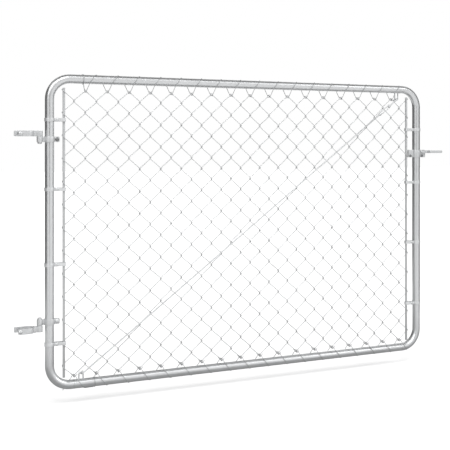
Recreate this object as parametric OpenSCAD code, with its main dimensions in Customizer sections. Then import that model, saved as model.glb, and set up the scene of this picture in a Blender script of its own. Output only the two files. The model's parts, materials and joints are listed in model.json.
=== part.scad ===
// Chain link walk gate: bent tube frame, woven wire fabric, hinges, fork latch and truss rod.
// Millimetres, +Z up, +X from the hinge side to the latch side, front face towards -Y.
// The origin is on the axis of the hinge post, at mid height of the lower post strap.

/* [Frame] */
// Overall width of the tube frame
frame_w = 1666; // [1300:1:2200]
// Overall height of the tube frame
frame_h = 1168; // [1100:1:1500]
// Outside diameter of the frame tube
tube_d = 33.4; // [30:0.1:38]
// Wall thickness of the frame tube
tube_wall = 1.6; // [1.2:0.1:2.5]
// Centreline radius of the four corner bends
bend_r = 77; // [60:1:90]
// Straight ends past the two hinge side bends, bottom and top
hinge_side_stubs = [12, 48]; // [8:1:80]
// Straight ends past the two latch side bends, bottom and top
latch_side_stubs = [9, 19]; // [8:1:80]
// Length of the swaged end inside the joint
spigot_len = 60; // [30:1:90]
// Visible gap at the joint
joint_gap = 0.8; // [0.5:0.1:3]

/* [Fabric] */
// Height and width of one diamond
cell = 85.3; // [80:0.1:100]
// Diameter of the fabric wire
wire_d = 2.9; // [2:0.1:3.2]
// Depth from the middle of the fabric to the wire's centre
fabric_d = 4.2; // [4:0.1:5]
// Height of the lowest knuckles above the bottom rail's centre
knuckle_gap = 28; // [24:1:44]
// Width and height of the end folded back at each knuckle
knuckle_len = 12; // [8:0.5:16]
// Diameter of the lacing wire
lacing_d = 2.4; // [2:0.1:3]

/* [Tension bars and bands] */
// Width of a tension bar
bar_w = 9; // [8:0.5:14]
// Thickness of a tension bar
bar_t = 4.8; // [4:0.1:5.2]
// Height of a tension band
band_h = 13; // [10:1:20]
// Thickness of a tension band
band_t = 2; // [1.5:0.1:2.5]
// Places of the hinge side bands, as shares of the fabric's height
left_band_places = [0.12, 0.3944, 0.6544, 0.8948]; // [0.05:0.0001:0.95]
// Places of the latch side bands, as shares of the fabric's height
right_band_places = [0.1524, 0.4056, 0.6544, 0.8728]; // [0.05:0.0001:0.95]

/* [Hinges] */
// Outside diameter of the hinge post, and inside width of its straps
post_d = 42.2; // [34:0.1:61]
// Distance from a post strap's closed end to the hinge pin's axis
pin_reach = 20.5; // [18:0.5:30]
// Distance from the hinge pin's axis to the hinge upright's axis
upright_off = 36; // [34:0.5:46]
// Diameter of the hinge pin
pin_d = 15.9; // [12:0.1:17]
// Height of the collar under the lower hinge barrel
collar_h = 4.1; // [2:0.1:8]
// Height of a hinge strap
strap_h = 20.5; // [18:0.5:26]
// Thickness of a hinge strap
strap_t = 2.5; // [2:0.1:3.5]
// Height of the lower hinge band above the bottom rail's centre
lower_hinge_z = 240; // [200:1:300]
// Distance of the upper hinge band below the top rail's centre
upper_hinge_drop = 224.6; // [180:0.1:300]

/* [Fork latch] */
// Distance of the latch clamp's middle below the top rail's centre
latch_drop = 281.6; // [230:0.1:340]
// Height of the latch clamp
clamp_h = 33; // [32:1:40]
// Reach of the clamp's outer ears from the upright's axis
outer_ear = 46; // [42:1:56]
// Reach of the clamp's inner ears from the upright's axis
inner_ear = 43; // [38:1:44]
// Inside width of the fork
fork_gap = 64; // [50:1:80]
// Length of the fork from its pivot
fork_len = 88; // [80:1:130]
// Height of the fork's bars
fork_h = 12; // [10:1:14]
// Thickness of the fork's bars
fork_t = 4; // [3:0.5:6]

/* [Truss rod] */
// Diameter of the truss rod
rod_d = 5; // [4:0.1:6]
// Distance from the middle of the frame to the rod, forwards
rod_y = 10.4; // [10.3:0.1:12]
// Length of the thread on the long rod
thread_len = 95; // [60:1:120]
// Length of the turnbuckle's body
buckle_len = 73; // [60:1:100]
// Width of the turnbuckle's body
buckle_w = 14; // [13.5:0.5:20]
// Distance from the upper eye to the turnbuckle
buckle_back = 48; // [35:1:70]

/* [Hidden] */

$fn = 64;
zinc = [0.72, 0.73, 0.74];
bright_zinc = [0.82, 0.83, 0.84];

// Running and seating clearances, and a length that passes through everything
seat = 0.15;
pin_gap = 0.3;
upper_gap = 0.6;
swing_gap = 5.2;
through = 200;

// Bolts: large ones in the hinges, small ones in the tension bands and the latch
bolt_d = 8;
bolt_head_d = 15;
bolt_head_h = 3.6;
bolt_nut_af = 13;
bolt_nut_h = 6;
small_bolt_d = 6.4;
small_head_d = 12.6;
small_head_h = 3;
small_nut_af = 11;
small_nut_h = 5;
bolt_tail = 3;
hole_gap = 0.4;
edge_margin = 0.8;

// Layout of the frame
tube_r = tube_d / 2;
post_r = post_d / 2;
hinge_side_joints = [for (stub = hinge_side_stubs) bend_r + stub];
latch_side_joints = [for (stub = latch_side_stubs) bend_r + stub];
pin_x = post_r + strap_t + pin_reach;
hinge_up_x = pin_x + upright_off;
latch_up_x = hinge_up_x + frame_w - tube_d;
lower_band_z = strap_h + collar_h + pin_gap;
bottom_z = lower_band_z - lower_hinge_z;
top_z = bottom_z + frame_h - tube_d;
upper_band_z = top_z - upper_hinge_drop;
upper_strap_z = upper_band_z + strap_h + upper_gap;

// Layout of the fabric: columns u and rows w of half diamonds
half_cell = cell / 2;
min_side_gap = 40;
cols = 2 * floor((frame_w - tube_d - 2 * min_side_gap) / cell);
side_gap = (frame_w - tube_d - cols * half_cell) / 2;
rows = floor((frame_h - tube_d - 2 * knuckle_gap) / half_cell);
fabric_x0 = hinge_up_x + side_gap;
fabric_z0 = bottom_z + knuckle_gap;
function col_x(u) = fabric_x0 + u * half_cell;
function row_z(w) = fabric_z0 + w * half_cell;
wire_r = wire_d / 2;
hook_off = wire_r + seat;
knuckle_lift = wire_d + 2 * seat;
bend_rise = 2;
bar_off = bar_w / 2 + seat - hook_off + wire_r;

// Sweeping a wire: the section keeps its shape along each straight leg and is mitred at each bend
function unit(v) = v / norm(v);
function legs(path) = [for (i = [1 : len(path) - 1]) unit(path[i] - path[i - 1])];
function mitre_normal(dirs, i) = unit(dirs[max(i - 1, 0)] + dirs[min(i, len(dirs) - 1)]);
function mirrored(v, n) = v - 2 * (v * n) * n;
function ring(p, section, dir, n) = [for (v = section) p + v - dir * ((v * n) / (dir * n))];
function start_section(dir, r, sides) =
    let (a = unit(cross(dir, [1, 0, 0])), b = cross(dir, a))
        [for (k = [0 : sides - 1]) r * (cos(360 * k / sides) * a + sin(360 * k / sides) * b)];
function rings(path, dirs, section, i = 0) = i == len(path) ? [] :
    let (n = mitre_normal(dirs, i), inside = i > 0 && i < len(dirs))
        concat([ring(path[i], section, dirs[max(i - 1, 0)], n)],
               rings(path, dirs, inside ? [for (v = section) mirrored(v, n)] : section, i + 1));

module swept_wire(path, r, sides) {
    dirs = legs(path);
    bends = rings(path, dirs, start_section(dirs[0], r, sides));
    walls = [for (i = [0 : len(path) - 2], k = [0 : sides - 1])
        let (m = (k + 1) % sides, a = i * sides + k, b = i * sides + m)
            each [[a, b, b + sides], [a, b + sides, a + sides]]];
    start_cap = [for (k = [sides - 1 : -1 : 0]) k];
    end_cap = [for (k = [0 : sides - 1]) (len(path) - 1) * sides + k];
    polyhedron(points = [for (bend = bends) each bend],
               faces = concat([start_cap], walls, [end_cap]), convexity = 10);
}

// Wire n of the fabric zigzags between columns n and n + 1
function on_left(n, w) = (n + w) % 2 == 1;
function bend_x(n, w) = on_left(n, w) ? col_x(n) - hook_off : col_x(n + 1) + hook_off;
function bend_points(n, w) =
    let (s = on_left(n, w) ? -1 : 1, x = bend_x(n, w), z = row_z(w))
        [[x, s * fabric_d, z - bend_rise], [x, -s * fabric_d, z + bend_rise]];
// At both selvages the cut end is folded back along the wire's own last leg, on the other face
function knuckle(n, w, up) =
    let (s = on_left(n, w) ? -1 : 1, x = bend_x(n, w), z = row_z(w), y = up * s * fabric_d)
        [[x, y, z - up * bend_rise],
         [x, -y - up * s * knuckle_lift, z + up * bend_rise],
         [x - s * knuckle_len, -y - up * s * knuckle_lift, z + up * (bend_rise - knuckle_len)]];
function wire_path(n) =
    let (start = knuckle(n, 0, -1))
        concat([start[2], start[1], start[0]],
               [for (w = [1 : rows - 1]) each bend_points(n, w)], knuckle(n, rows, 1));

module fabric_wires(part) {
    first = floor(cols * (part - 1) / 4);
    last = floor(cols * part / 4) - 1;
    color(bright_zinc)
        for (n = [first : last])
            swept_wire(wire_path(n), wire_r, 3);
}

// Lacing wire round a rail and through the knuckles; up is 1 where the rail is above them.
// Each turn is given by the angles of its points round the rail, 90 being the side away from the knuckles.
lace_r = (tube_r + lacing_d / 2 + seat) / cos(22.5);
pass_depth = fabric_d + wire_r + lacing_d / 2 + 0.6;
pass_drop = 8;
pass_step = 0.5;
near = 0.16 * cell;
far_step = 0.12 * cell;
tight_near = 4;
tight_step = 1.5;
ring_pitch = 3;
function round_rail(x, angle, rail_z, up) =
    [x, lace_r * cos(angle), rail_z + up * lace_r * sin(angle)];
function approach(x, first, step, rail_z, up) =
    [for (k = [2 : -1 : -1]) round_rail(x - first - step * (k + 1), 45 * k, rail_z, up)];
function ring_turn(x, rail_z, up) =
    [for (k = [0 : 7]) round_rail(x - ring_pitch * (8 - k) / 8, 90 - 45 * k, rail_z, up)];
function lace_turn(x, ringed, rail_z, knuckle_z, up) = concat(
    ringed ? ring_turn(x - tight_near - 3 * tight_step, rail_z, up) : [],
    approach(x, ringed ? tight_near : near, ringed ? tight_step : far_step, rail_z, up),
    [[x, pass_depth, knuckle_z - up * pass_drop],
     [x + pass_step, -pass_depth, knuckle_z - up * pass_drop]],
    [for (k = [-1 : 1]) round_rail(x + near + far_step * (k + 1), 180 - 45 * k, rail_z, up)]);
module lacing_wire(columns, ringed_column, rail_z, knuckle_z, up) {
    color(bright_zinc)
        swept_wire([for (u = columns)
            each lace_turn(col_x(u), u == ringed_column, rail_z, knuckle_z, up)], lacing_d / 2, 4);
}

// Frame tube
module tube(len) {
    difference() {
        cylinder(h = len, d = tube_d);
        cylinder(h = len, d = tube_d - 2 * tube_wall);
    }
}
module corner_bend() {
    rotate_extrude(angle = 90)
        translate([bend_r, 0])
            difference() {
                circle(d = tube_d);
                circle(d = tube_d - 2 * tube_wall);
            }
}
// A rail's stub along Z, with a swaged end that fills the rail's bore
module swaged_stub(len) {
    spigot_d = tube_d - 2 * tube_wall - 2 * seat;
    shoulder = 6;
    difference() {
        union() {
            cylinder(h = len, d = tube_d);
            cylinder(h = len + spigot_len, d = spigot_d);
        }
        translate([0, 0, -1])
            cylinder(h = len + 1 - shoulder, d = tube_d - 2 * tube_wall);
        translate([0, 0, -1])
            cylinder(h = len + spigot_len + 2, d = spigot_d - 2 * tube_wall);
    }
}
// One side of the frame: the upright on Z at the origin, two bends, and rail stubs towards +X
module side_frame(joints) {
    rise = top_z - bottom_z;
    translate([0, 0, bend_r])
        tube(rise - 2 * bend_r);
    for (end = [0, 1])
        translate([0, 0, end * rise])
            mirror([0, 0, end]) {
                translate([bend_r, 0, bend_r])
                    rotate([90, 0, 0])
                        rotate([0, 0, 180])
                            corner_bend();
                translate([bend_r, 0, 0])
                    rotate([0, 90, 0])
                        swaged_stub(joints[end] - bend_r);
            }
}
module hinge_side_frame() {
    color(zinc)
        translate([hinge_up_x, 0, bottom_z])
            side_frame(hinge_side_joints);
}
module latch_side_frame() {
    color(zinc)
        translate([latch_up_x, 0, bottom_z])
            mirror([1, 0, 0])
                side_frame(latch_side_joints);
}
// A rail between the swaged stubs of the two sides; k is 0 for the bottom and 1 for the top
module rail(k) {
    start = hinge_up_x + hinge_side_joints[k] + joint_gap;
    end = latch_up_x - latch_side_joints[k] - joint_gap;
    color(zinc)
        translate([start, 0, k == 0 ? bottom_z : top_z])
            rotate([0, 90, 0])
                tube(end - start);
}

// Carriage bolts along Y, heads at the front, gripping straps out to y = grip
module carriage_bolt(grip, d, head_d, head_h, nut_af, nut_h) {
    rotate([90, 0, 0]) {
        translate([0, 0, grip])
            intersection() {
                cylinder(h = head_h, d = head_d);
                translate([0, 0, head_h - head_d])
                    sphere(d = 2 * head_d);
            }
        translate([0, 0, -grip - nut_h - bolt_tail])
            cylinder(h = 2 * grip + nut_h + bolt_tail, d = d);
        translate([0, 0, -grip - nut_h])
            cylinder(h = nut_h, d = nut_af / cos(30), $fn = 6);
    }
}
module large_bolt(grip) {
    carriage_bolt(grip, bolt_d, bolt_head_d, bolt_head_h, bolt_nut_af, bolt_nut_h);
}
module small_bolt(grip) {
    carriage_bolt(grip, small_bolt_d, small_head_d, small_head_h, small_nut_af, small_nut_h);
}
module bolt_cut(d) {
    rotate([90, 0, 0])
        cylinder(h = through, d = d + hole_gap, center = true);
}

// A slab along X in the plane, with its two far corners rounded
module blunt_slab(start, end, half, r) {
    translate([start, -half])
        square([end - start - r, 2 * half]);
    translate([start, r - half])
        square([end - start, 2 * half - 2 * r]);
    for (s = [-1, 1])
        translate([end - r, s * (half - r)])
            circle(r = r);
}
// Cuts ears that point towards +X to length, with round corners; side is -1 front, 1 back, 0 both
ear_gap = 4;
ear_corner = 4;
module ear_cut(end, height, side = 0) {
    translate([0, side * through / 2, 0])
        rotate([90, 0, 0])
            linear_extrude(through, center = true)
                difference() {
                    translate([end - ear_corner, -height])
                        square([through, 2 * height]);
                    blunt_slab(end - 3 * ear_corner, end, height / 2, ear_corner);
                }
}

// Post strap: a U round the post, closed towards the gate, its longer arm at the back
post_bolt_off = post_r + bolt_d / 2 + 3.8;
front_arm = post_bolt_off + bolt_head_d / 2 + edge_margin;
back_arm = front_arm + 8;
module post_strap() {
    difference() {
        translate([0, 0, -strap_h / 2])
            linear_extrude(strap_h)
                difference() {
                    union() {
                        circle(r = post_r + strap_t);
                        translate([-back_arm - 1, -post_r - strap_t])
                            square([back_arm + 1, post_d + 2 * strap_t]);
                    }
                    circle(r = post_r);
                    translate([-back_arm - 2, -post_r])
                        square([back_arm + 2, post_d]);
                }
        mirror([1, 0, 0]) {
            ear_cut(front_arm, strap_h, -1);
            ear_cut(back_arm, strap_h, 1);
        }
        translate([-post_bolt_off, 0, 0])
            bolt_cut(bolt_d);
    }
}
// Pintle: a saddle on the strap's closed end, a boss and the hinge pin upwards, past a gap for the barrel
boss_d = pin_d + 2 * (pin_gap + strap_t);
saddle_t = 3.5;
saddle_w = 24;
web_w = 12;
pin_tip = 7.5;
module pintle(gap) {
    pin_len = gap + strap_h + pin_tip;
    difference() {
        union() {
            translate([-pin_x, -saddle_w / 2, -strap_h / 2])
                cube([post_r + strap_t + saddle_t, saddle_w, strap_h]);
            translate([-pin_reach, -web_w / 2, -strap_h / 2])
                cube([pin_reach, web_w, strap_h]);
        }
        translate([-pin_x, 0, 0])
            cylinder(h = through, r = post_r + strap_t + seat, center = true);
    }
    translate([0, 0, -strap_h / 2])
        cylinder(h = strap_h, d = boss_d);
    translate([0, 0, strap_h / 2])
        intersection() {
            cylinder(h = pin_len, d = pin_d);
            translate([0, 0, pin_len - pin_d])
                sphere(r = pin_d);
        }
}
module lower_post_strap() {
    color(zinc) post_strap();
}
module lower_post_bolt() {
    color(bright_zinc)
        translate([-post_bolt_off, 0, 0])
            large_bolt(post_r + strap_t);
}
module lower_pintle() {
    color(zinc)
        translate([pin_x, 0, 0]) {
            pintle(collar_h + pin_gap);
            translate([0, 0, strap_h / 2])
                cylinder(h = collar_h, d = boss_d - strap_t);
        }
}
// The upper hinge hangs the other way up and without a collar, so the gate can't be lifted off
module upper_hinge() {
    translate([0, 0, upper_strap_z])
        mirror([0, 0, 1])
            children();
}
module upper_post_strap() {
    upper_hinge() lower_post_strap();
}
module upper_post_bolt() {
    upper_hinge() lower_post_bolt();
}
module upper_pintle() {
    color(zinc)
        upper_hinge()
            translate([pin_x, 0, 0])
                pintle(upper_gap);
}

// Hinge band: a strap round the upright with a barrel on the pin and two ears inside
hinge_bolt_off = tube_r + seat + strap_t + edge_margin + bolt_head_d / 2;
hinge_ear = hinge_bolt_off + bolt_head_d / 2 + 3 * edge_margin;
module hinge_band() {
    barrel_r = pin_d / 2 + pin_gap;
    band_r = tube_r + seat;
    difference() {
        translate([0, 0, -strap_h / 2])
            linear_extrude(strap_h)
                difference() {
                    union() {
                        circle(r = band_r + strap_t);
                        translate([-upright_off, 0])
                            circle(r = barrel_r + strap_t);
                        translate([-upright_off, -strap_t])
                            square([upright_off, 2 * strap_t]);
                        translate([0, -ear_gap / 2 - strap_t])
                            square([hinge_ear + 1, ear_gap + 2 * strap_t]);
                    }
                    circle(r = band_r);
                    translate([-upright_off, 0])
                        circle(r = barrel_r);
                    translate([0, -ear_gap / 2])
                        square([hinge_ear + 2, ear_gap]);
                }
        ear_cut(hinge_ear, strap_h);
        translate([hinge_bolt_off, 0, 0])
            bolt_cut(bolt_d);
    }
}
module lower_hinge_band() {
    color(zinc)
        translate([hinge_up_x, 0, lower_band_z])
            hinge_band();
}
module upper_hinge_band() {
    color(zinc)
        translate([hinge_up_x, 0, upper_band_z])
            hinge_band();
}
module lower_hinge_bolt() {
    color(bright_zinc)
        translate([hinge_up_x + hinge_bolt_off, 0, lower_band_z])
            large_bolt(ear_gap / 2 + strap_t);
}
module upper_hinge_bolt() {
    color(bright_zinc)
        translate([hinge_up_x + hinge_bolt_off, 0, upper_band_z])
            large_bolt(ear_gap / 2 + strap_t);
}

// Tension bars, threaded through the end loops of the fabric
bar_over = 7;
module tension_bar() {
    translate([-bar_w / 2, -bar_t / 2, row_z(0)])
        cube([bar_w, bar_t, row_z(rows) - row_z(0) + bar_over]);
}
module left_tension_bar() {
    color(zinc)
        translate([col_x(0) + bar_off, 0, 0])
            tension_bar();
}
module right_tension_bar() {
    color(zinc)
        translate([col_x(cols) - bar_off, 0, 0])
            tension_bar();
}
// Tension band: a strap round the upright that closes round the tension bar
// The fabric's end loops are at the odd rows: a band is on one or well off it
loop_room = 0.45;
function nearest_loop(w) = 2 * round((w - 1) / 2) + 1;
function band_z(place) =
    let (w = place * rows, loop = nearest_loop(w)) row_z(abs(w - loop) < loop_room ? loop : w);
band_bolt_off = tube_r + seat + band_t + edge_margin + small_head_d / 2;
band_slot = 2 * (fabric_d + wire_r + seat);
band_corner = 4;
module tension_band() {
    band_r = tube_r + seat;
    slot_end = side_gap + bar_off + bar_w / 2 + seat;
    difference() {
        translate([0, 0, -band_h / 2])
            linear_extrude(band_h)
                difference() {
                    union() {
                        circle(r = band_r + band_t);
                        blunt_slab(0, slot_end + band_t, band_slot / 2 + band_t, band_corner);
                    }
                    circle(r = band_r);
                    blunt_slab(0, slot_end, band_slot / 2, band_corner - band_t);
                }
        translate([band_bolt_off, 0, 0])
            bolt_cut(small_bolt_d);
    }
}
module left_tension_band(k) {
    color(bright_zinc)
        translate([hinge_up_x, 0, band_z(left_band_places[k])])
            tension_band();
}
module right_tension_band(k) {
    color(bright_zinc)
        translate([latch_up_x, 0, band_z(right_band_places[k])])
            mirror([1, 0, 0])
                tension_band();
}
module band_bolts(x, places) {
    color(bright_zinc)
        for (place = places)
            translate([x, 0, band_z(place)])
                small_bolt(band_slot / 2 + band_t);
}

// Truss rod from the bottom hinge corner to the top latch corner, through an eye on each rail
eye_d = 5;
eye_r = 8;
lower_eye_h = 17;
upper_eye_h = 22;
eye_sink = 1.6;
lower_eye_x = col_x(1) + 0.62 * half_cell;
upper_eye_x = col_x(cols) - 0.67 * cell;
module truss_eye(h) {
    difference() {
        union() {
            for (s = [-1, 1])
                translate([s * eye_r, 0, tube_r - eye_sink])
                    cylinder(h = h + eye_sink, d = eye_d);
            translate([0, 0, tube_r + h])
                rotate([90, 0, 0])
                    rotate_extrude(angle = 180)
                        translate([eye_r, 0])
                            circle(d = eye_d);
        }
        rotate([0, 90, 0])
            cylinder(h = through, r = tube_r + seat, center = true);
    }
}
module lower_truss_eye() {
    color(zinc)
        translate([lower_eye_x, 0, bottom_z])
            truss_eye(lower_eye_h);
}
module upper_truss_eye() {
    color(zinc)
        translate([upper_eye_x, 0, top_z])
            mirror([0, 0, 1])
                truss_eye(upper_eye_h);
}
// The rod's line, in front of the fabric
eye_to_rod = tube_r + eye_r - eye_d / 2 - rod_d / 2 - seat;
rod_start = [lower_eye_x, -rod_y, bottom_z + lower_eye_h + eye_to_rod];
rod_end = [upper_eye_x, -rod_y, top_z - upper_eye_h - eye_to_rod];
rod_run = norm(rod_end - rod_start);
rod_angle = atan2(rod_end[2] - rod_start[2], rod_end[0] - rod_start[0]);
buckle_start = rod_run - buckle_back - buckle_len;
thread_d = rod_d + 0.8;
thread_over = 14;
module on_rod_line() {
    translate(rod_start)
        rotate([0, -rod_angle, 0])
            children();
}
// A rod along +X, threaded at its far end; its near end goes back through an eye and turns home
hook_r = 6;
hook_past = 3;
hook_tail = 6;
module hook_bend() {
    rotate_extrude(angle = 90)
        translate([hook_r, 0])
            circle(d = rod_d);
}
module hooked_rod(len, thread) {
    translate([hook_r, 0, 0])
        rotate([0, 90, 0])
            cylinder(h = len - hook_r, d = rod_d);
    translate([len - thread, 0, 0])
        rotate([0, 90, 0])
            cylinder(h = thread, d = thread_d);
    translate([hook_r, hook_r, 0])
        rotate([0, 0, 180])
            hook_bend();
    translate([0, hook_r, 0])
        rotate([-90, 0, 0])
            cylinder(h = rod_y + hook_past - hook_r, d = rod_d);
    translate([hook_r, rod_y + hook_past, 0])
        rotate([0, 0, 90])
            hook_bend();
    translate([hook_r, rod_y + hook_past + hook_r, 0])
        rotate([0, 90, 0])
            cylinder(h = hook_tail, d = rod_d);
}
module truss_rod() {
    color(bright_zinc)
        on_rod_line()
            hooked_rod(buckle_start + thread_over, thread_len + thread_over);
}
// Open turnbuckle: two bored bosses joined by two bars
buckle_boss_d = 9;
buckle_boss_len = 11;
buckle_taper = 3;
buckle_bar_d = 3.6;
module buckle_boss() {
    difference() {
        union() {
            cylinder(h = buckle_taper, d1 = buckle_boss_d - 2, d2 = buckle_boss_d);
            translate([0, 0, buckle_taper])
                cylinder(h = buckle_boss_len - buckle_taper, d = buckle_boss_d);
        }
        cylinder(h = through, d = thread_d + hole_gap, center = true);
    }
}
module turnbuckle() {
    color(zinc)
        on_rod_line()
            translate([buckle_start, 0, 0])
                rotate([0, 90, 0]) {
                    buckle_boss();
                    translate([0, 0, buckle_len])
                        mirror([0, 0, 1])
                            buckle_boss();
                    for (s = [-1, 1])
                        translate([s * (buckle_w - buckle_bar_d) / 2, 0, buckle_taper])
                            cylinder(h = buckle_len - 2 * buckle_taper, d = buckle_bar_d);
                }
}
module turnbuckle_hook() {
    color(bright_zinc)
        translate(rod_end)
            rotate([0, 180 - rod_angle, 0])
                hooked_rod(buckle_back + thread_over, thread_over + buckle_boss_d);
}

// Fork latch
clamp_r = tube_r + seat;
pivot_off = clamp_r + strap_t + edge_margin + bolt_head_d / 2;
pivot_z = 8;
latch_bolt_z = -10;
inner_bolt_off = inner_ear - small_head_d / 2 - 4 * edge_margin;
module latch_at() {
    translate([latch_up_x, 0, top_z - latch_drop])
        children();
}
module latch_clamp() {
    color(zinc)
        latch_at()
            difference() {
                translate([0, 0, -clamp_h / 2])
                    linear_extrude(clamp_h)
                        difference() {
                            union() {
                                circle(r = clamp_r + strap_t);
                                translate([-inner_ear - 1, -ear_gap / 2 - strap_t])
                                    square([inner_ear + outer_ear + 2, ear_gap + 2 * strap_t]);
                            }
                            circle(r = clamp_r);
                            translate([-inner_ear - 2, -ear_gap / 2])
                                square([inner_ear + outer_ear + 4, ear_gap]);
                        }
                ear_cut(outer_ear, clamp_h);
                mirror([1, 0, 0])
                    ear_cut(inner_ear, clamp_h);
                for (x = [-inner_bolt_off, pivot_off])
                    translate([x, 0, latch_bolt_z])
                        bolt_cut(small_bolt_d);
                translate([pivot_off, 0, pivot_z])
                    bolt_cut(bolt_d);
            }
}
module latch_bolts() {
    color(bright_zinc)
        latch_at()
            for (x = [-inner_bolt_off, pivot_off])
                translate([x, 0, latch_bolt_z])
                    small_bolt(ear_gap / 2 + strap_t);
}
module latch_pivot_pin() {
    rivet_h = 2.5;
    reach = ear_gap / 2 + strap_t + fork_t + 2 * pin_gap;
    color(bright_zinc)
        latch_at()
            translate([pivot_off, 0, pivot_z])
                rotate([90, 0, 0])
                    for (s = [0, 1])
                        mirror([0, 0, s]) {
                            cylinder(h = reach, d = bolt_d);
                            translate([0, 0, reach])
                                cylinder(h = rivet_h, d1 = small_head_d, d2 = bolt_d);
                        }
}
// Fork: two cheeks on the pivot, a cross plate past the ears' swept corner, and two prongs
fork_spread = norm([outer_ear - pivot_off - ear_corner, clamp_h / 2 - pivot_z - ear_corner])
    + ear_corner + swing_gap;
fork_bend = 7;
module bent_bar() {
    rotate_extrude(angle = 90)
        translate([fork_bend - fork_t / 2, -fork_h / 2])
            square([fork_t, fork_h]);
}
module flat_bar(from, to) {
    translate([from, -fork_t / 2, -fork_h / 2])
        cube([to - from, fork_t, fork_h]);
}
module round_end() {
    rotate([90, 0, 0])
        cylinder(h = fork_t, d = fork_h, center = true);
}
module latch_fork() {
    cheek_y = ear_gap / 2 + strap_t + pin_gap + fork_t / 2;
    prong_y = (fork_gap + fork_t) / 2;
    cross_x = fork_spread + fork_t / 2;
    color(zinc)
        latch_at()
            translate([pivot_off, 0, pivot_z])
                difference() {
                    union() {
                        for (s = [0, 1])
                            mirror([0, s, 0]) {
                                translate([0, cheek_y, 0]) {
                                    round_end();
                                    flat_bar(0, cross_x - fork_bend);
                                }
                                translate([cross_x - fork_bend, cheek_y + fork_bend, 0])
                                    rotate([0, 0, -90])
                                        bent_bar();
                                translate([cross_x + fork_bend, prong_y - fork_bend, 0])
                                    rotate([0, 0, 90])
                                        bent_bar();
                                translate([0, prong_y, 0])
                                    flat_bar(cross_x + fork_bend, fork_len - fork_h / 2);
                                translate([fork_len - fork_h / 2, prong_y, 0])
                                    round_end();
                            }
                        translate([cross_x - fork_t / 2, fork_bend - prong_y, -fork_h / 2])
                            cube([fork_t, 2 * (prong_y - fork_bend), fork_h]);
                    }
                    bolt_cut(bolt_d);
                }
}

lower_post_strap();
lower_post_bolt();
lower_pintle();
upper_post_strap();
upper_post_bolt();
upper_pintle();
hinge_side_frame();
latch_side_frame();
rail(0);  // bottom_rail
rail(1);  // top_rail
lower_hinge_band();
lower_hinge_bolt();
upper_hinge_band();
upper_hinge_bolt();
left_tension_bar();
right_tension_bar();
left_tension_band(0);  // left_tension_band_1
left_tension_band(1);  // left_tension_band_2
left_tension_band(2);  // left_tension_band_3
left_tension_band(3);  // left_tension_band_4
right_tension_band(0);  // right_tension_band_1
right_tension_band(1);  // right_tension_band_2
right_tension_band(2);  // right_tension_band_3
right_tension_band(3);  // right_tension_band_4
band_bolts(hinge_up_x + band_bolt_off, left_band_places);  // left_band_bolts
band_bolts(latch_up_x - band_bolt_off, right_band_places);  // right_band_bolts
fabric_wires(1);  // fabric_wires_1
fabric_wires(2);  // fabric_wires_2
fabric_wires(3);  // fabric_wires_3
fabric_wires(4);  // fabric_wires_4
/* top_lacing_wire */ lacing_wire([for (u = [1 : cols - 1]) if ((u + rows) % 2 == 1) u], 2, top_z, row_z(rows), 1);
/* bottom_lacing_wire */ lacing_wire([for (u = [1 : cols - 1]) if (u % 2 == 1) u], 3, bottom_z, row_z(0), -1);
lower_truss_eye();
upper_truss_eye();
truss_rod();
turnbuckle();
turnbuckle_hook();
latch_clamp();
latch_bolts();
latch_pivot_pin();
latch_fork();
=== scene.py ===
"""Chain link walk gate: zinc finishes, woven fabric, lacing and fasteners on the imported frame."""

import json
import math

import bmesh
import bpy
from mathutils import Matrix, Vector


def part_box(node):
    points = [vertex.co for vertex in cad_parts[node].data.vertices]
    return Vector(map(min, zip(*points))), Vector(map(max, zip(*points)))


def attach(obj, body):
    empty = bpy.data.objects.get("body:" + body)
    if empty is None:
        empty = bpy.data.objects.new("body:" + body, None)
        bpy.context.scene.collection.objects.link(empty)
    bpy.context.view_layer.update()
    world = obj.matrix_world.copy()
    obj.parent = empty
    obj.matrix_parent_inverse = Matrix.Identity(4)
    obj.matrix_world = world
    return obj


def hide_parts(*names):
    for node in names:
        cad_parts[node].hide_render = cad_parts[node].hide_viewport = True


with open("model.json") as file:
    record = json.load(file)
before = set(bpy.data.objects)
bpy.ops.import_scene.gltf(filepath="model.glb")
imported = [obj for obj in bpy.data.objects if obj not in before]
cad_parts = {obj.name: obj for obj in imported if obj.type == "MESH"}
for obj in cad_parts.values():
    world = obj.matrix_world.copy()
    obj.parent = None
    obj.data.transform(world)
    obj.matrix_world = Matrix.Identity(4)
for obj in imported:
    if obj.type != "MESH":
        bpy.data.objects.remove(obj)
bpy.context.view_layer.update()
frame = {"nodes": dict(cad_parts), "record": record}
nodes = frame["nodes"]

# Sizes of the real gate, in metres
MM = 0.001
TUBE_R = 16.7 * MM
SEAT = 0.15 * MM

# Fabric: zigzag wires, half a cell apart, with folded ends
WIRE_D = 2.9 * MM
WIRE_BEND_R = 3.2 * MM
HALF_CELL = 42.65 * MM
ROWS = 25
COLUMNS = 36
KNUCKLE_GAP = 28 * MM
FACE_DEPTH = 4.2 * MM
HOOK_OFFSET = WIRE_D / 2 + SEAT
BEND_RISE = 2 * MM
STUB = 12 * MM
STUB_LIFT = WIRE_D + 2 * SEAT
FABRIC_PIECES = 4

# Lacing wires round the rails; the tight turn begins, ends and leaves the rail at the ring
# places, which are counted back from its knuckle
LACING_D = 2.4 * MM
LACING_BEND_R = 3 * MM
LACING_ROOM = 0.6 * MM
LACING_DROP = 8 * MM
LACING_SLANT = 0.5 * MM
LACING_NEAR = 0.36 * HALF_CELL
RING_PLACES = (11.5 * MM, 8.5 * MM, 4 * MM)

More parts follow.
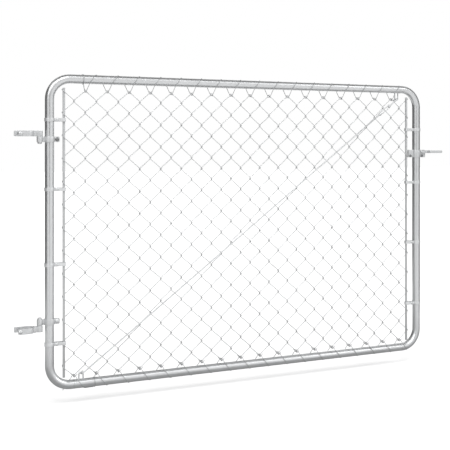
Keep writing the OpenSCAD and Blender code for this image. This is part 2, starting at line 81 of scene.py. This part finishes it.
# Bolts: diameter, head and nut; grip is half of what they clamp
LARGE_BOLT = {"d": 8 * MM, "head_d": 15 * MM, "head_h": 3.6 * MM,
              "nut_af": 13 * MM, "nut_h": 6 * MM}
SMALL_BOLT = {"d": 6.4 * MM, "head_d": 12.6 * MM, "head_h": 3 * MM,
              "nut_af": 11 * MM, "nut_h": 5 * MM}
BOLT_TAIL = 3 * MM
BOLT_PITCH = 1.25 * MM
NUT_CHAMFER = 0.5 * MM
HEAD_EDGE = 0.2 * MM
HEAD_TOP_R = 0.3 * MM
EAR_GRIP = 4.5 * MM
BAND_GRIP = 7.8 * MM
STRAP_GRIP = 23.6 * MM

# Threads: shares of their radius at the root and at the tip
ROOT_SHARE = 0.9
TIP_SHARE = 0.78
TIP_LENGTH = 0.6 * MM

# Sides of turned shapes
HEAD_SIDES = 28
SHANK_SIDES = 20
ROD_SIDES = 14

LEAF = "gate_leaf"
POST_SIDE = "post_hinges"
FORK = "fork"


def centre(node):
    """Middle of a CAD node's box."""
    low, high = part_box(node)
    return (low + high) / 2


HINGE_UPRIGHT_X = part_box("hinge_side_frame")[0].x + TUBE_R
LATCH_UPRIGHT_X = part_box("latch_side_frame")[1].x - TUBE_R
BOTTOM_Z = centre("bottom_rail").z
TOP_Z = centre("top_rail").z
FABRIC_X0 = (HINGE_UPRIGHT_X + LATCH_UPRIGHT_X - COLUMNS * HALF_CELL) / 2
FABRIC_Z0 = BOTTOM_Z + KNUCKLE_GAP

# Truss rod from its lower end to its hook's end, and where its two threads begin and stop:
# the long one before and past the turnbuckle's lower end, the short one before the hook's end
ROD_Y = -10.4 * MM
ROD_START = Vector((FABRIC_X0 + 1.62 * HALF_CELL, ROD_Y, BOTTOM_Z + 36.55 * MM))
ROD_END = Vector((FABRIC_X0 + (COLUMNS - 1.34) * HALF_CELL, ROD_Y, TOP_Z - 41.55 * MM))
ROD_THREAD_R = 3.05 * MM
ROD_PITCH = 1.0 * MM
BUCKLE_TO_END = 121 * MM
LONG_THREAD = (95 * MM, 13 * MM)
SHORT_THREAD = (61 * MM, 39 * MM)


class Value:
    """A node's output that takes part in arithmetic: each operation adds a Math node."""

    def __init__(self, tree, socket):
        self.tree = tree
        self.socket = socket

    def math(self, operation, *others):
        sockets = dict(enumerate((self,) + others))
        return self.tree.add("ShaderNodeMath", {"operation": operation}, sockets)

    def flipped(self, operation, other):
        return self.tree.add("ShaderNodeMath", {"operation": operation}, {0: other, 1: self})

    def __add__(self, other):
        return self.math("ADD", other)

    def __radd__(self, other):
        return self.math("ADD", other)

    def __sub__(self, other):
        return self.math("SUBTRACT", other)

    def __rsub__(self, other):
        return self.flipped("SUBTRACT", other)

    def __mul__(self, other):
        return self.math("MULTIPLY", other)

    def __truediv__(self, other):
        return self.math("DIVIDE", other)


class Tree:
    """Adds nodes to a shader or geometry tree, with settings and values for their sockets."""

    def __init__(self, tree):
        self.tree = tree

    def add(self, kind, settings=None, sockets=None, output=0):
        node = self.tree.nodes.new(kind)
        for name, value in (settings or {}).items():
            setattr(node, name, value)
        for name, value in (sockets or {}).items():
            self.feed(node.inputs[name], value)
        return Value(self, node.outputs[output])

    def feed(self, socket, value):
        if isinstance(value, Value):
            self.tree.links.new(value.socket, socket)
        else:
            socket.default_value = value


def grey(tone, tint=(1.0, 1.0, 1.0)):
    return tuple(tone * t for t in tint) + (1.0,)


# Tint of the zinc and limits of its finish
COOL = (0.985, 1.0, 1.012)
LIGHTEST = 0.95
ROUGHNESS_SWING = 0.16
BUMP_DEPTH = 0.0004


def zinc_finish(name, tone, roughness, metallic, spangle=0.0, spangle_scale=110.0, grain=260.0,
                drift=0.06, bump=0.12, stretch=(1.0, 1.0, 1.0)):
    """Zinc on steel: crystals of different greys, slow drifts in tone and a fine cast grain."""
    material = bpy.data.materials.new(name)
    material.use_nodes = True
    t = Tree(material.node_tree)
    surface = material.node_tree.nodes["Principled BSDF"]
    place = t.add("ShaderNodeTexCoord", output="Object")
    along = t.add("ShaderNodeMapping", None, {"Vector": place, "Scale": stretch})
    crystals = t.add("ShaderNodeTexVoronoi", {"feature": "F1"},
                     {"Vector": along, "Scale": spangle_scale, "Randomness": 1.0}, "Color")
    crystal_tone = t.add("ShaderNodeSeparateColor", None, {"Color": crystals}, "Red")
    slow = t.add("ShaderNodeTexNoise", None,
                 {"Vector": along, "Scale": 9.0, "Detail": 3.0, "Roughness": 0.6}, "Fac")
    fine = t.add("ShaderNodeTexNoise", None,
                 {"Vector": along, "Scale": grain, "Detail": 2.0, "Roughness": 0.55}, "Fac")
    mix = crystal_tone * spangle + slow * (drift * 2.0) + fine * drift
    shade = t.add("ShaderNodeMapRange", None,
                  {"Value": mix, "From Min": 0.0, "From Max": spangle + drift * 3.0,
                   "To Min": 0.0, "To Max": 1.0})
    dark = tone * (1.0 - spangle - drift * 2.0)
    light = min(tone * (1.0 + spangle + drift * 2.0), LIGHTEST)
    colour = t.add("ShaderNodeMix", {"data_type": "RGBA"},
                   {"Factor": shade, 6: grey(dark, COOL), 7: grey(light, COOL)}, 2)
    t.feed(surface.inputs["Base Color"], colour)
    uneven = (fine - 0.5) * ROUGHNESS_SWING
    t.feed(surface.inputs["Roughness"],
           roughness + uneven + (crystal_tone - 0.5) * (spangle * 0.6))
    t.feed(surface.inputs["Metallic"], metallic)
    height = fine + crystal_tone * (spangle * 1.5)
    normal = t.add("ShaderNodeBump", None,
                   {"Height": height, "Strength": bump, "Distance": BUMP_DEPTH}, "Normal")
    t.feed(surface.inputs["Normal"], normal)
    return material


TUBE_ZINC = zinc_finish("tube zinc", 0.60, 0.33, 0.78, spangle=0.02, spangle_scale=95.0,
                        grain=120.0, drift=0.03, bump=0.015, stretch=(1.0, 1.0, 0.6))
WIRE_ZINC = zinc_finish("wire zinc", 0.56, 0.36, 0.60, drift=0.05, grain=700.0, bump=0.10)
LACING_ZINC = zinc_finish("lacing zinc", 0.42, 0.40, 0.50, drift=0.05, grain=700.0, bump=0.10)
FITTING_ZINC = zinc_finish("fitting zinc", 0.60, 0.46, 0.45, spangle=0.05, spangle_scale=260.0,
                           grain=420.0, drift=0.07, bump=0.30)
STRIP_ZINC = zinc_finish("strip zinc", 0.66, 0.38, 0.45, spangle=0.05, spangle_scale=180.0)
BAR_ZINC = zinc_finish("bar zinc", 0.50, 0.40, 0.40, spangle=0.05, spangle_scale=180.0)
BOLT_ZINC = zinc_finish("bolt zinc", 0.62, 0.34, 0.60, grain=900.0, drift=0.06, bump=0.15)
# The bolt zinc again at a much darker tone: painted shade for the upper hinge bolt and the latch
# clamp's bolts
SHADED_BOLT_ZINC = zinc_finish("bolt zinc with painted shade", 0.20, 0.34, 0.60, grain=900.0, drift=0.03, bump=0.15)
BY_SLOT = {"frame_tube": TUBE_ZINC, "fabric_wire": WIRE_ZINC, "cast_fittings": FITTING_ZINC,
           "tension_strip": STRIP_ZINC, "bolts": BOLT_ZINC, "truss_parts": FITTING_ZINC}


# Widths of the rolled edges
FITTING_EASE = 0.5 * MM
BAR_EASE = 0.6 * MM
BAND_EASE = 0.4 * MM
FORK_EASE = 0.8 * MM
TURNBUCKLE_EASE = 1.0 * MM


def finish_cad_nodes():
    """Every CAD node gets the finish of its material slot."""
    for part in frame["record"]["subparts"]:
        mesh = nodes[part["node"]].data
        mesh.materials.clear()
        mesh.materials.append(BY_SLOT[part["material_slot"]])


def new_object(name, mesh):
    piece = bpy.data.objects.new(name, mesh)
    bpy.context.scene.collection.objects.link(piece)
    return piece


def band_names(side):
    return ["%s_tension_band_%d" % (side, k) for k in range(1, 5)]


def settle(piece, body, slot, *replaced):
    """The piece rides on its body and stands for the CAD nodes that it replaces."""
    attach(piece, body)
    if replaced:
        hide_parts(*replaced)


# How CAD meshes are joined up before their edges are rolled, and which edges stay sharp
WELD = 0.02 * MM
FLAT = math.radians(0.5)
HARD_EDGE = math.radians(50)
SHARP_EDGE = math.radians(40)
BOLT_SHARP_EDGE = math.radians(35)


def as_plain_mesh(piece):
    """What the piece's modifiers make, as its own mesh, with the modifiers taken off."""
    graph = bpy.context.evaluated_depsgraph_get()
    plain = bpy.data.meshes.new_from_object(piece.evaluated_get(graph))
    piece.modifiers.clear()
    piece.data = plain
    plain.shade_smooth()
    return plain


def eased(node, body, slot, width, material=None):
    """A copy of a CAD node whose hard edges are rolled over, as on a stamped or cast piece."""
    mesh = nodes[node].data.copy()
    shape = bmesh.new()
    shape.from_mesh(mesh)
    bmesh.ops.remove_doubles(shape, verts=shape.verts, dist=WELD)
    bmesh.ops.dissolve_limit(shape, angle_limit=FLAT, verts=shape.verts, edges=shape.edges)
    shape.to_mesh(mesh)
    shape.free()
    piece = new_object(node + "_eased", mesh)
    bevel = piece.modifiers.new("rolled edges", "BEVEL")
    bevel.width = width
    bevel.segments = 3
    bevel.limit_method = "ANGLE"
    bevel.angle_limit = HARD_EDGE
    plain = as_plain_mesh(piece)
    plain.set_sharp_from_angle(angle=SHARP_EDGE)
    if material:
        plain.materials[0] = material
    settle(piece, body, slot, node)


def geometry_tree(name, inputs):
    """A geometry tree with named inputs: its maker, its inputs as values and its output node."""
    tree = bpy.data.node_groups.new(name, "GeometryNodeTree")
    tree.interface.new_socket("Geometry", in_out="INPUT", socket_type="NodeSocketGeometry")
    for label, kind in inputs:
        tree.interface.new_socket(label, in_out="INPUT", socket_type="NodeSocket" + kind)
    tree.interface.new_socket("Geometry", in_out="OUTPUT", socket_type="NodeSocketGeometry")
    maker = Tree(tree)
    entry = tree.nodes.new("NodeGroupInput")
    values = {label: Value(maker, entry.outputs[label]) for label, _ in inputs}
    values["Geometry"] = Value(maker, entry.outputs["Geometry"])
    return maker, values, tree.nodes.new("NodeGroupOutput")


def grown(name, tree, start, values):
    """Runs a geometry tree on a start mesh and returns the result as a plain mesh object."""
    piece = new_object(name, start)
    modifier = piece.modifiers.new(tree.name, "NODES")
    modifier.node_group = tree
    for item in tree.interface.items_tree:
        if item.in_out == "INPUT" and item.name in values:
            modifier[item.identifier] = values[item.name]
    as_plain_mesh(piece).name = name
    return piece


# How finely wires are cut
BEND_STEPS = 4
WIRE_SIDES = 8


def finish_wires(maker, output, curve, radius, bend, material):
    """Rounds the corners of a path, sweeps the wire along it and closes the ends."""
    rounded = maker.add("GeometryNodeFilletCurve", {"mode": "POLY"},
                        {"Curve": curve, "Count": BEND_STEPS, "Radius": bend, "Limit Radius": True})
    section = maker.add("GeometryNodeCurvePrimitiveCircle", None,
                        {"Resolution": WIRE_SIDES, "Radius": radius})
    swept = maker.add("GeometryNodeCurveToMesh", None,
                      {"Curve": rounded, "Profile Curve": section, "Fill Caps": True})
    real = maker.add("GeometryNodeRealizeInstances", None, {"Geometry": swept})
    finished = maker.add("GeometryNodeSetMaterial", None, {"Geometry": real, "Material": material})
    maker.feed(output.inputs["Geometry"], finished)


# Added before a quotient is rounded down, so that a whole one stays whole
NUDGE = 0.0001


def weave_tree():
    """Zigzag wires side by side, each hooked through the next at every bend, with folded ends.

    One line of points holds all the wires; the point's number gives its wire, row and face.
    """
    maker, v, output = geometry_tree("woven fabric", [
        ("First Wire", "Int"), ("Wires", "Int"), ("Rows", "Int"), ("Half Cell", "Float"),
        ("Face Depth", "Float"), ("Hook Offset", "Float"), ("Bend Rise", "Float"),
        ("Stub", "Float"), ("Stub Lift", "Float"), ("Wire Radius", "Float"),
        ("Bend Radius", "Float"), ("Corner", "Vector"), ("Material", "Material")])
    per_wire = v["Rows"] * 2.0 + 4.0
    index = maker.add("GeometryNodeInputIndex")
    wire = (index / per_wire + NUDGE).math("FLOOR")
    step = index - wire * per_wire
    number = wire + v["First Wire"]
    # the folded ends keep the row and face of the bend before or after them
    step_in = (step - 1.0).math("MAXIMUM", 0.0).math("MINIMUM", v["Rows"] * 2.0 + 1.0)
    row = (step_in / 2.0 + NUDGE).math("FLOOR")
    second = step_in - row * 2.0
    odd = ((number + row) / 2.0).math("FRACT") * 2.0
    side = 1.0 - odd * 2.0
    at_start = step.math("LESS_THAN", 1.5)
    at_end = step.math("GREATER_THAN", per_wire - 2.5)
    lifted = at_start + at_end
    is_stub = step.math("LESS_THAN", 0.5) + step.math("GREATER_THAN", per_wire - 1.5)
    face = 1.0 - second * 2.0
    x = ((number + 1.0 - odd) * v["Half Cell"] + side * v["Hook Offset"]
         - is_stub * side * v["Stub"])
    y = side * face * (v["Face Depth"] + lifted * v["Stub Lift"])
    z = row * v["Half Cell"] - face * v["Bend Rise"] + is_stub * face * v["Stub"]
    place = maker.add("ShaderNodeCombineXYZ", None, {"X": x, "Y": y, "Z": z})
    line = maker.add("GeometryNodeMeshLine", {"mode": "OFFSET", "count_mode": "TOTAL"},
                     {"Count": v["Wires"] * per_wire, "Offset": (0.0, 0.0, 0.01)})
    woven = maker.add("GeometryNodeSetPosition", None,
                      {"Geometry": line, "Position": place, "Offset": v["Corner"]})
    edge = maker.add("GeometryNodeInputIndex")
    is_join = ((edge + 1.0) / per_wire + NUDGE).math("FRACT").math("LESS_THAN", 0.001)
    apart = maker.add("GeometryNodeDeleteGeometry", {"domain": "EDGE", "mode": "EDGE_FACE"},
                      {"Geometry": woven, "Selection": is_join})
    curve = maker.add("GeometryNodeMeshToCurve", None, {"Mesh": apart})
    finish_wires(maker, output, curve, v["Wire Radius"], v["Bend Radius"], v["Material"])
    return maker.tree


def rod_tree():
    """A round rod swept along the edges of a path, with round bends."""
    maker, v, output = geometry_tree("bent rod", [
        ("Rod Radius", "Float"), ("Bend Radius", "Float"), ("Material", "Material")])
    curve = maker.add("GeometryNodeMeshToCurve", None, {"Mesh": v["Geometry"]})
    finish_wires(maker, output, curve, v["Rod Radius"], v["Bend Radius"], v["Material"])
    return maker.tree


def path_mesh(name, points):
    """A mesh of one open line through the points."""
    mesh = bpy.data.meshes.new(name)
    mesh.from_pydata(points, [(k, k + 1) for k in range(len(points) - 1)], [])
    return mesh


WEAVE = weave_tree()
ROD = rod_tree()


def woven_fabric():
    wires_each = COLUMNS // FABRIC_PIECES
    for part in range(FABRIC_PIECES):
        name = "woven_wires_%d" % (part + 1)
        piece = grown(name, WEAVE, bpy.data.meshes.new(name), {
            "First Wire": part * wires_each, "Wires": wires_each, "Rows": ROWS,
            "Half Cell": HALF_CELL, "Face Depth": FACE_DEPTH, "Hook Offset": HOOK_OFFSET,
            "Bend Rise": BEND_RISE, "Stub": STUB, "Stub Lift": STUB_LIFT,
            "Wire Radius": WIRE_D / 2, "Bend Radius": WIRE_BEND_R,
            "Corner": (FABRIC_X0, 0.0, FABRIC_Z0), "Material": WIRE_ZINC})
        settle(piece, LEAF, "fabric_wire", "fabric_wires_%d" % (part + 1))


# Turns of the lacing round a rail, in degrees: far from the knuckles, back at the knuckles, front
FAR_TURN = 90
BACK_TURN = -40
FRONT_TURN = 220
FULL_TURN = 360
TURN_STEP = 20


def wound(rail_z, up, start, end, from_turn, to_turn):
    """Points of a wire that is wound round a rail from one turn to another."""
    reach = TUBE_R + LACING_D / 2 + SEAT
    steps = max(1, round(abs(to_turn - from_turn) / TURN_STEP))
    points = []
    for k in range(steps + 1):
        turn = math.radians(from_turn + (to_turn - from_turn) * k / steps)
        points.append((start + (end - start) * k / steps, reach * math.cos(turn),
                       rail_z + up * reach * math.sin(turn)))
    return points


def lacing(name, rail_z, knuckle_z, first, ringed, up):
    """One wire round the rail and through every knuckle; before the ringed one a tight turn."""
    depth = FACE_DEPTH + WIRE_D / 2 + LACING_D / 2 + LACING_ROOM
    z = knuckle_z - up * LACING_DROP
    path = []
    for column in range(first, COLUMNS, 2):
        x = FABRIC_X0 + column * HALF_CELL
        if column == ringed:
            start, middle, end = (x - place for place in RING_PLACES)
            path += wound(rail_z, up, start, middle, FAR_TURN, FAR_TURN - FULL_TURN)[:-1]
            path += wound(rail_z, up, middle, end, FAR_TURN, BACK_TURN)
        else:
            path += wound(rail_z, up, x - HALF_CELL, x - LACING_NEAR, FAR_TURN, BACK_TURN)
        path += [(x, depth, z), (x + LACING_SLANT, -depth, z)]
        path += wound(rail_z, up, x + LACING_NEAR, x + HALF_CELL, FRONT_TURN, FAR_TURN)[:-1]
    return grown(name, ROD, path_mesh(name, path), {
        "Rod Radius": LACING_D / 2, "Bend Radius": LACING_BEND_R, "Material": LACING_ZINC})


def laced_rails():
    top_knuckles = FABRIC_Z0 + ROWS * HALF_CELL
    settle(lacing("top_lacing", TOP_Z, top_knuckles, 2, 2, 1), LEAF, "fabric_wire",
           "top_lacing_wire")
    settle(lacing("bottom_lacing", BOTTOM_Z, FABRIC_Z0, 1, 3, -1), LEAF, "fabric_wire",
           "bottom_lacing_wire")


def add_lathe(shape, profile, sides):
    """Turns a profile of (radius, y) points about the Y axis."""
    rings = []
    for radius, y in profile:
        ring = [shape.verts.new((radius * math.cos(2 * math.pi * k / sides), y,
                                 radius * math.sin(2 * math.pi * k / sides))) for k in range(sides)]
        rings.append(ring)
    for low, high in zip(rings, rings[1:]):
        for k in range(sides):
            shape.faces.new((low[k], low[(k + 1) % sides], high[(k + 1) % sides], high[k]))
    shape.faces.new(list(reversed(rings[0])))
    shape.faces.new(rings[-1])


def thread_profile(radius, start, end, pitch):
    """A screw's side as close rings, root and crest in turn, with a chamfered tip."""
    count = int((end - start) / pitch)
    points = []
    for k in range(count):
        y = start + k * pitch
        points += [(radius * ROOT_SHARE, y), (radius, y + pitch * 0.4), (radius, y + pitch * 0.6)]
    return points + [(radius * ROOT_SHARE, end), (radius * TIP_SHARE, end + TIP_LENGTH)]


def nut_radius(size):
    """From a nut's axis to its corners."""
    return size["nut_af"] / 2 / math.cos(math.radians(30))


def bolt_mesh(grip, size):
    """Carriage bolt along Y: domed head towards the front, threaded end and nut at the back."""
    shape = bmesh.new()
    head = size["head_d"] / 2
    rise = size["head_h"]
    dome = []
    for degrees in range(0, 90, 11):
        a = math.radians(degrees)
        dome.append((head * math.cos(a),
                     -grip - HEAD_EDGE - (rise - HEAD_EDGE) * math.sin(a)))
    add_lathe(shape, [(HEAD_TOP_R, -grip - rise)] + dome[::-1] + [(head, -grip)], HEAD_SIDES)
    shank_end = grip + size["nut_h"] + BOLT_TAIL - TIP_LENGTH
    add_lathe(shape, thread_profile(size["d"] / 2, -grip, shank_end, BOLT_PITCH),
              SHANK_SIDES)
    place = (Matrix.Translation((0, grip + size["nut_h"] / 2, 0))
             @ Matrix.Rotation(math.pi / 2, 4, "X"))
    nut = bmesh.ops.create_cone(shape, cap_ends=True, segments=6, radius1=nut_radius(size),
                                radius2=nut_radius(size), depth=size["nut_h"], matrix=place)
    edges = list({edge for vert in nut["verts"] for edge in vert.link_edges})
    bmesh.ops.bevel(shape, geom=edges, offset=NUT_CHAMFER, segments=2, affect="EDGES")
    bmesh.ops.recalc_face_normals(shape, faces=shape.faces)
    mesh = bpy.data.meshes.new("bolt")
    shape.to_mesh(mesh)
    shape.free()
    return mesh


def instance_tree():
    """A copy of one mesh on every point."""
    maker, v, output = geometry_tree("copies on points",
                                     [("Copy", "Object"), ("Material", "Material")])
    source = maker.add("GeometryNodeObjectInfo", {"transform_space": "ORIGINAL"},
                       {"Object": v["Copy"]}, "Geometry")
    copies = maker.add("GeometryNodeInstanceOnPoints", None,
                       {"Points": v["Geometry"], "Instance": source})
    real = maker.add("GeometryNodeRealizeInstances", None, {"Geometry": copies})
    finished = maker.add("GeometryNodeSetMaterial", None,
                         {"Geometry": real, "Material": v["Material"]})
    maker.feed(output.inputs["Geometry"], finished)
    return maker.tree


COPIES = instance_tree()


def bolts(name, body, grip, size, places, replaced, material=BOLT_ZINC):
    """Equal bolts on one body, as one piece."""
    source = new_object(name + "_source", bolt_mesh(grip, size))
    points = bpy.data.meshes.new(name)
    points.from_pydata(places, [], [])
    piece = grown(name, COPIES, points, {"Copy": source, "Material": material})
    piece.data.set_sharp_from_angle(angle=BOLT_SHARP_EDGE)
    bpy.data.objects.remove(source)
    settle(piece, body, "bolts", *replaced)


def bolt_centre(node):
    place = centre(node)
    return (place.x, 0.0, place.z)


def fasteners():
    post_bolts = ["lower_post_bolt", "upper_post_bolt"]
    bolts("post_bolts", POST_SIDE, STRAP_GRIP, LARGE_BOLT, [bolt_centre(n) for n in post_bolts],
          post_bolts)
    # the upper hinge bolt gets the bolt zinc with painted shade
    for end, node, material in (("low", "lower_hinge_bolt", BOLT_ZINC),
                                ("high", "upper_hinge_bolt", SHADED_BOLT_ZINC)):
        bolts("hinge_bolt_" + end, LEAF, EAR_GRIP, LARGE_BOLT, [bolt_centre(node)], [node],
              material)
    for side in ("left", "right"):
        x = centre(side + "_band_bolts").x
        places = [(x, 0.0, centre(band).z) for band in band_names(side)]
        bolts(side + "_bolts", LEAF, BAND_GRIP, SMALL_BOLT, places, [side + "_band_bolts"])
    low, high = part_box("latch_bolts")
    half_nut = nut_radius(SMALL_BOLT)
    places = [(x, 0.0, (low.z + high.z) / 2) for x in (low.x + half_nut, high.x - half_nut)]
    # the clamp bolts get the bolt zinc with painted shade
    bolts("clamp_bolts", LEAF, EAR_GRIP, SMALL_BOLT, places, ["latch_bolts"], SHADED_BOLT_ZINC)


def rod_threads():
    """The screwed ends of the truss rod and its hook, as fine rings round the rod."""
    run = (ROD_END - ROD_START).length
    line = (ROD_END - ROD_START).normalized()
    buckle = run - BUCKLE_TO_END
    shape = bmesh.new()
    for begin, finish in ((buckle - LONG_THREAD[0], buckle + LONG_THREAD[1]),
                          (run - SHORT_THREAD[0], run - SHORT_THREAD[1])):
        add_lathe(shape, thread_profile(ROD_THREAD_R, begin, finish, ROD_PITCH), ROD_SIDES)
    bmesh.ops.recalc_face_normals(shape, faces=shape.faces)
    turn = Vector((0.0, 1.0, 0.0)).rotation_difference(line).to_matrix().to_4x4()
    bmesh.ops.transform(shape, matrix=Matrix.Translation(ROD_START) @ turn, verts=shape.verts)
    mesh = bpy.data.meshes.new("rod_threads")
    shape.to_mesh(mesh)
    shape.free()
    mesh.materials.append(WIRE_ZINC)
    settle(new_object("rod_threads", mesh), LEAF, "truss_parts")


def eased_fittings():
    for node in ("lower_post_strap", "upper_post_strap", "lower_pintle", "upper_pintle"):
        eased(node, POST_SIDE, "cast_fittings", FITTING_EASE)
    for node in ("lower_hinge_band", "upper_hinge_band", "latch_clamp"):
        eased(node, LEAF, "cast_fittings", FITTING_EASE)
    for side in ("left", "right"):
        eased(side + "_tension_bar", LEAF, "tension_strip", BAR_EASE, BAR_ZINC)
        for band in band_names(side):
            eased(band, LEAF, "tension_strip", BAND_EASE)
    eased("latch_fork", FORK, "cast_fittings", FORK_EASE)
    eased("turnbuckle", LEAF, "truss_parts", TURNBUCKLE_EASE)


# Studio: a white floor that fades into the white background, three soft lamps in front
# and dark panels outside the picture for the tubes' reflections
CAMERA_PLACE = Vector((-0.5672, -3.0946, 0.6650))
CAMERA_TURN = math.radians(-23.593)
FOCAL_PX = 841.7
HORIZON_PX = 146.925
IMAGE_PX = 450
SENSOR_MM = 36.0
WORLD_LEVEL = 0.28
FLOOR_HALF = 30.0
FLOOR_DROP = 60 * MM
FLOOR_TONE = 0.82
FLOOR_GLOW = 0.46
# Name, azimuth, elevation, strength and width of each lamp
LAMPS = (("left lamp", -48.0, 35.0, 0.8, 40.0),
         ("right lamp", 62.0, 30.0, 1.1, 40.0),
         ("front lamp", -12.0, 55.0, 1.2, 30.0))
FLAG_BOTTOM = -0.5
FLAG_TOP = 2.6
# Height and grey of the panel under the gate: a painted shadow of the floor that only the rails'
# reflections show
FLOOR_SHADOW_FLAG_Z = -0.28
FLOOR_SHADOW_FLAG_TONE = 0.40


def camera():
    data = bpy.data.cameras.new("camera")
    data.sensor_width = SENSOR_MM
    data.lens = FOCAL_PX / IMAGE_PX * SENSOR_MM
    data.shift_y = -(IMAGE_PX / 2 - 0.5 - HORIZON_PX) / IMAGE_PX
    data.clip_end = 200.0
    viewer = new_object("camera", data)
    viewer.location = CAMERA_PLACE
    viewer.rotation_euler = (math.pi / 2, 0.0, CAMERA_TURN)
    bpy.context.scene.camera = viewer


def sun(name, azimuth, elevation, strength, angle):
    """A soft lamp; azimuth 0 shines from the front, positive from the right."""
    data = bpy.data.lights.new(name, "SUN")
    data.energy = strength
    data.angle = math.radians(angle)
    lamp = new_object(name, data)
    a = math.radians(azimuth)
    e = math.radians(elevation)
    towards = Vector((-math.sin(a) * math.cos(e), math.cos(a) * math.cos(e), -math.sin(e)))
    lamp.rotation_euler = towards.to_track_quat("-Z", "Y").to_euler()


def flag(name, corners, faces, tone=0.02):
    """A dark panel outside the picture, which only reflections show."""
    mesh = bpy.data.meshes.new(name)
    mesh.from_pydata(corners, [], faces)
    material = bpy.data.materials.new(name)
    material.use_nodes = True
    surface = material.node_tree.nodes["Principled BSDF"]
    surface.inputs["Base Color"].default_value = grey(tone)
    surface.inputs["Roughness"].default_value = 1.0
    surface.inputs["Specular IOR Level"].default_value = 0.0
    mesh.materials.append(material)
    piece = new_object(name, mesh)
    for ray in ("camera", "diffuse", "shadow", "transmission", "volume_scatter"):
        setattr(piece, "visible_" + ray, False)


def standing_flag(name, line):
    """A standing panel that follows a line on the floor plan."""
    corners = [(x, y, z) for x, y in line for z in (FLAG_BOTTOM, FLAG_TOP)]
    flag(name, corners, [(2 * k, 2 * k + 2, 2 * k + 3, 2 * k + 1) for k in range(len(line) - 1)])


def lying_flag(name, low, high, z, *tone):
    """A level panel between two corners."""
    corners = [(low[0], low[1], z), (high[0], low[1], z),
               (high[0], high[1], z), (low[0], high[1], z)]
    flag(name, corners, [(0, 1, 2, 3)], *tone)


def flags():
    standing_flag("left flag", [(-2.0, -0.8), (-1.5, 1.2), (0.0, 2.4), (2.6, 2.6)])
    standing_flag("camera flag", [(-2.1, -5.4), (-0.2, -5.8)])
    # grey panel just above the floor under the gate: painted shadow in the rails' undersides'
    # reflections
    lying_flag("low flag", (-0.6, -0.5), (2.4, 0.7), FLOOR_SHADOW_FLAG_Z, FLOOR_SHADOW_FLAG_TONE)
    standing_flag("right flag", [(2.5, -0.7), (3.4, 1.0)])
    lying_flag("top flag", (-1.0, -0.9), (3.0, 1.2), FLAG_TOP)


def seen_directly(maker):
    """1 for rays that show the background: camera, glossy and transmission rays."""
    path = maker.tree.nodes.new("ShaderNodeLightPath")
    rays = [Value(maker, path.outputs[n]) for n in
            ("Is Camera Ray", "Is Glossy Ray", "Is Transmission Ray")]
    return rays[0].math("MAXIMUM", rays[1]).math("MAXIMUM", rays[2])


def world_light(level):
    world = bpy.data.worlds.new("studio")
    world.use_nodes = True
    bpy.context.scene.world = world
    maker = Tree(world.node_tree)
    background = world.node_tree.nodes["Background"]
    background.inputs["Color"].default_value = (1.0, 1.0, 1.0, 1.0)
    maker.feed(background.inputs["Strength"], seen_directly(maker) * (1.0 - level) + level)


def floor():
    """A white floor under the gate; only the gate's own shadow is darker than white."""
    size = FLOOR_HALF
    mesh = bpy.data.meshes.new("floor")
    z = BOTTOM_Z - TUBE_R - FLOOR_DROP
    mesh.from_pydata([(-size, -size, z), (size, -size, z), (size, size, z), (-size, size, z)], [],
                     [(0, 1, 2, 3)])
    piece = new_object("floor", mesh)
    material = bpy.data.materials.new("floor white")
    material.use_nodes = True
    surface = material.node_tree.nodes["Principled BSDF"]
    surface.inputs["Base Color"].default_value = grey(FLOOR_TONE)
    surface.inputs["Roughness"].default_value = 0.9
    surface.inputs["Specular IOR Level"].default_value = 0.0
    maker = Tree(material.node_tree)
    surface.inputs["Emission Color"].default_value = (1.0, 1.0, 1.0, 1.0)
    maker.feed(surface.inputs["Emission Strength"], seen_directly(maker) * FLOOR_GLOW)
    mesh.materials.append(material)


finish_cad_nodes()
woven_fabric()
laced_rails()
fasteners()
rod_threads()
eased_fittings()
camera()
world_light(WORLD_LEVEL)
for lamp in LAMPS:
    sun(*lamp)
flags()
floor()
bpy.context.scene.view_settings.view_transform = "Standard"
